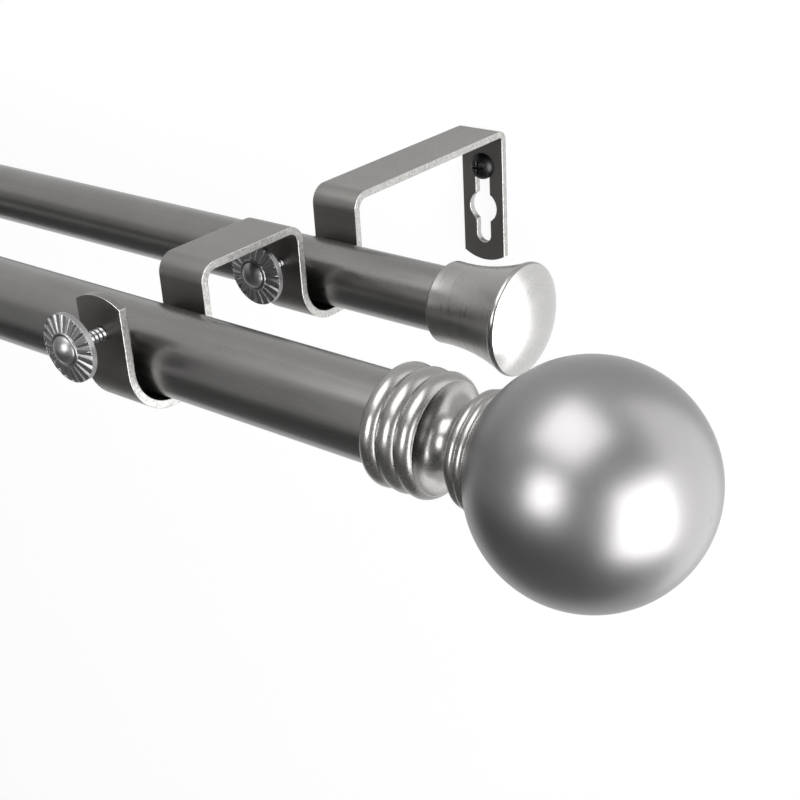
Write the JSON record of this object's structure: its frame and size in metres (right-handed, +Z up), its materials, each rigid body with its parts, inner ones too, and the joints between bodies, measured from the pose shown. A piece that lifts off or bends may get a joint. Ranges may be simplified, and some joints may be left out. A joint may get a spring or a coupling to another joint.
{
  "type": "double curtain pole",
  "caption": "Double telescoping curtain pole on bent strap brackets, with ball finials in front, trumpet end caps behind and fluted thumb screws.",
  "frame": {"origin": "where the axis of the right wall screw meets the wall face, at the top of the keyhole slot", "axes": "+X along the poles to the right-hand finial, +Y into the wall, +Z up"},
  "size_m": [0.9546, 0.2314, 0.0602],
  "materials": {
    "satin_nickel": "satin",
    "bright_nickel": "polished",
    "dark_steel": "dark zinc",
    "plain_steel": "zinc plated",
    "brass": "turned"
  },
  "bodies": {
    "mounted": {"front_outer_tube": "satin_nickel", "rear_outer_tube": "satin_nickel", "right_bracket": "satin_nickel", "right_wall_screw": "dark_steel", "right_finial_collar": "bright_nickel", "right_finial_seat": "bright_nickel", "right_finial_ball": "satin_nickel", "right_ball_bush": "brass", "right_finial_screw": "plain_steel", "right_end_cap": "bright_nickel", "left_bracket": "satin_nickel", "left_wall_screw": "dark_steel"},
    "front_slider": {"front_inner_tube": "satin_nickel", "left_finial_collar": "bright_nickel", "left_finial_seat": "bright_nickel", "left_finial_ball": "satin_nickel", "left_ball_bush": "brass", "left_finial_screw": "plain_steel"},
    "rear_slider": {"rear_inner_tube": "satin_nickel", "left_end_cap": "bright_nickel"},
    "right_front_screw_body": {"right_front_thumb_screw": "bright_nickel"},
    "right_front_disc_body": {"right_front_thumb_disc": "bright_nickel"},
    "right_rear_screw_body": {"right_rear_thumb_screw": "bright_nickel"},
    "right_rear_disc_body": {"right_rear_thumb_disc": "bright_nickel"},
    "left_front_screw_body": {"left_front_thumb_screw": "bright_nickel"},
    "left_front_disc_body": {"left_front_thumb_disc": "bright_nickel"},
    "left_rear_screw_body": {"left_rear_thumb_screw": "bright_nickel"},
    "left_rear_disc_body": {"left_rear_thumb_disc": "bright_nickel"}
  },
  "joints": [
    {"name": "front_pole_extend", "type": "slide", "parent": "mounted", "child": "front_slider", "axis": [-1, 0, 0], "range_m": [-0.07, 0.4]},
    {"name": "rear_pole_extend", "type": "slide", "parent": "mounted", "child": "rear_slider", "axis": [-1, 0, 0], "range_m": [-0.035, 0.4]},
    {"name": "right_front_screw_advance", "type": "slide", "parent": "mounted", "child": "right_front_screw_body", "axis": [0, -1, 0], "range_m": [-0.0021, 0.0049]},
    {"name": "right_front_screw_turn", "type": "hinge", "parent": "right_front_screw_body", "child": "right_front_disc_body", "pos_m": [0, -0.1838, 0.002], "axis": [0, -1, 0], "range_deg": [-1080, 2520]},
    {"name": "right_rear_screw_advance", "type": "slide", "parent": "mounted", "child": "right_rear_screw_body", "axis": [0, -1, 0], "range_m": [0, 0.0063]},
    {"name": "right_rear_screw_turn", "type": "hinge", "parent": "right_rear_screw_body", "child": "right_rear_disc_body", "pos_m": [0, -0.1112, -0.0013], "axis": [0, -1, 0], "range_deg": [0, 3240]},
    {"name": "left_front_screw_advance", "type": "slide", "parent": "mounted", "child": "left_front_screw_body", "axis": [0, -1, 0], "range_m": [-0.0021, 0.007]},
    {"name": "left_front_screw_turn", "type": "hinge", "parent": "left_front_screw_body", "child": "left_front_disc_body", "pos_m": [-0.6, -0.1838, 0.0028], "axis": [0, -1, 0], "range_deg": [-1080, 3600]},
    {"name": "left_rear_screw_advance", "type": "slide", "parent": "mounted", "child": "left_rear_screw_body", "axis": [0, -1, 0], "range_m": [0, 0.0077]},
    {"name": "left_rear_screw_turn", "type": "hinge", "parent": "left_rear_screw_body", "child": "left_rear_disc_body", "pos_m": [-0.6, -0.1112, -0.0005], "axis": [0, -1, 0], "range_deg": [0, 3960]}
  ],
  "couplings": [
    {"joint": "right_front_screw_advance", "follows": "right_front_screw_turn", "m_per_rad": 0.00011141},
    {"joint": "right_rear_screw_advance", "follows": "right_rear_screw_turn", "m_per_rad": 0.00011141},
    {"joint": "left_front_screw_advance", "follows": "left_front_screw_turn", "m_per_rad": 0.00011141},
    {"joint": "left_rear_screw_advance", "follows": "left_rear_screw_turn", "m_per_rad": 0.00011141}
  ]
}
